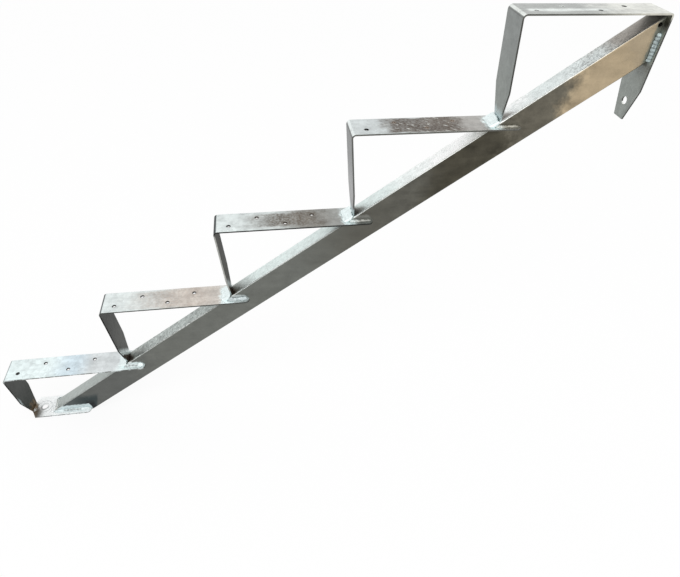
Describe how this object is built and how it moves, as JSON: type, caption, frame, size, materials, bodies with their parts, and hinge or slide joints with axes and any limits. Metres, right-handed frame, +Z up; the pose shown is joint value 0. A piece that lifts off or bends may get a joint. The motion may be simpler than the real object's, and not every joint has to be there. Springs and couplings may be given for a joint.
{
  "type": "stair stringer",
  "caption": "Galvanised steel stair stringer: a raked tube with bent strip steps welded along it, a forked foot plate and a hanger plate that bolts to the landing.",
  "frame": {"origin": "centre of the foot's anchor hole, on the ground face of the foot plate", "axes": "+X along the run, up the stair towards the landing; +Y across the stringer; +Z up"},
  "size_m": [1.2993, 0.06, 0.912],
  "materials": {
    "galvanised_steel": "hot dip zinc, pale silver with faint spangle and brown staining",
    "galvanised_weld": "lumpy weld bead under bright zinc"
  },
  "bodies": {
    "root": {"spine_tube": "galvanised_steel", "foot_plate": "galvanised_steel", "step_bracket_1": "galvanised_steel", "step_bracket_2": "galvanised_steel", "step_bracket_3": "galvanised_steel", "step_bracket_4": "galvanised_steel", "top_bracket": "galvanised_steel", "step_weld_1": "galvanised_weld", "step_weld_2": "galvanised_weld", "step_weld_3": "galvanised_weld", "step_weld_4": "galvanised_weld", "tongue_welds_1": "galvanised_weld", "tongue_welds_2": "galvanised_weld", "tongue_welds_3": "galvanised_weld", "tongue_welds_4": "galvanised_weld", "foot_side_welds": "galvanised_weld", "foot_toe_weld": "galvanised_weld", "riser_1_weld": "galvanised_weld", "hanger_welds": "galvanised_weld"}
  },
  "joints": []
}
